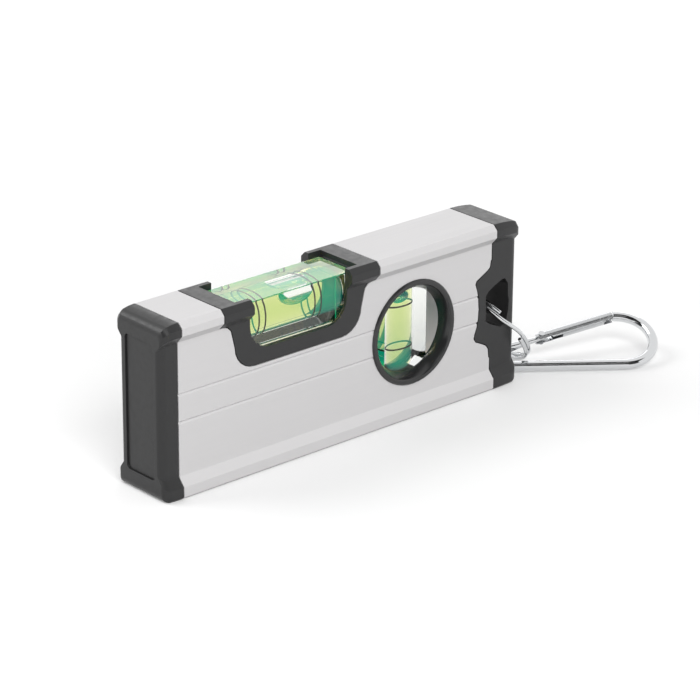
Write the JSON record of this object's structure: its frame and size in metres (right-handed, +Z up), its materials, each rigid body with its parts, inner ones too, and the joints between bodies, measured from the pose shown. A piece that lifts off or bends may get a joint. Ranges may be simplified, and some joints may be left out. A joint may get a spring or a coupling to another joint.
{
  "type": "pocket spirit level",
  "caption": "Small magnetic aluminium spirit level with a level vial in its top edge, a round plumb vial, end caps, a split ring and a carabiner.",
  "frame": {"origin": "centre of the level's base face, on the magnetic strip", "axes": "+X along the level towards the split ring, +Z up from the base to the level vial, front face towards -Y"},
  "size_m": [0.141, 0.0389, 0.04],
  "materials": {
    "aluminium": "satin anodised",
    "magnet": "dull",
    "black_plastic": "fine matt",
    "clear_plastic": "clear polished",
    "vial_liquid": "clear yellow-green",
    "bubble": "clear",
    "line_ink": "matt",
    "chrome": "polished plated steel"
  },
  "bodies": {
    "level": {"aluminium_body": "aluminium", "magnet_strip": "magnet", "left_end_cap": "black_plastic", "right_end_cap": "black_plastic", "vial_saddle": "black_plastic", "level_vial": "clear_plastic", "level_liquid": "vial_liquid", "level_plug": "clear_plastic", "level_line_1": "line_ink", "level_line_2": "line_ink", "level_line_3": "line_ink", "level_line_4": "line_ink", "window_bezel_front": "black_plastic", "window_bezel_back": "black_plastic", "plumb_vial": "clear_plastic", "plumb_liquid": "vial_liquid", "plumb_plug": "clear_plastic", "plumb_line_1": "line_ink", "plumb_line_2": "line_ink"},
    "level_vial_bubble": {"level_bubble": "bubble"},
    "plumb_vial_bubble": {"plumb_bubble": "bubble"},
    "ring": {"split_ring": "chrome"},
    "carabiner": {"carabiner_hook": "chrome", "gate_pin": "chrome"},
    "gate": {"carabiner_gate": "chrome", "gate_spring": "chrome"}
  },
  "joints": [
    {"name": "ring_swing", "type": "hinge", "parent": "level", "child": "ring", "pos_m": [0.04475, 0, 0.02], "axis": [0.1379, -0.9751, -0.1738], "range_deg": [0, 90]},
    {"name": "carabiner_swing", "type": "hinge", "parent": "ring", "child": "carabiner", "pos_m": [0.05869, -0.00284, 0.00279], "axis": [-0.428, -0.7266, 0.5375], "range_deg": [-80, 40]},
    {"name": "gate_hinge", "type": "hinge", "parent": "carabiner", "child": "gate", "pos_m": [0.06603, -0.00172, 0.00509], "axis": [0.2091, 0.3052, -0.9291], "range_deg": [0, 25], "stiffness_Nm_per_rad": 0.02, "springref_deg": -17.19},
    {"name": "level_bubble_slide", "type": "slide", "parent": "level", "child": "level_vial_bubble", "axis": [1, 0, 0], "range_m": [-0.0086, 0.0022], "stiffness_N_per_m": 0.5},
    {"name": "plumb_bubble_slide", "type": "slide", "parent": "level", "child": "plumb_vial_bubble", "axis": [0, 0, 1], "range_m": [-0.013, 0], "stiffness_N_per_m": 0.5, "springref_m": 0.01}
  ]
}
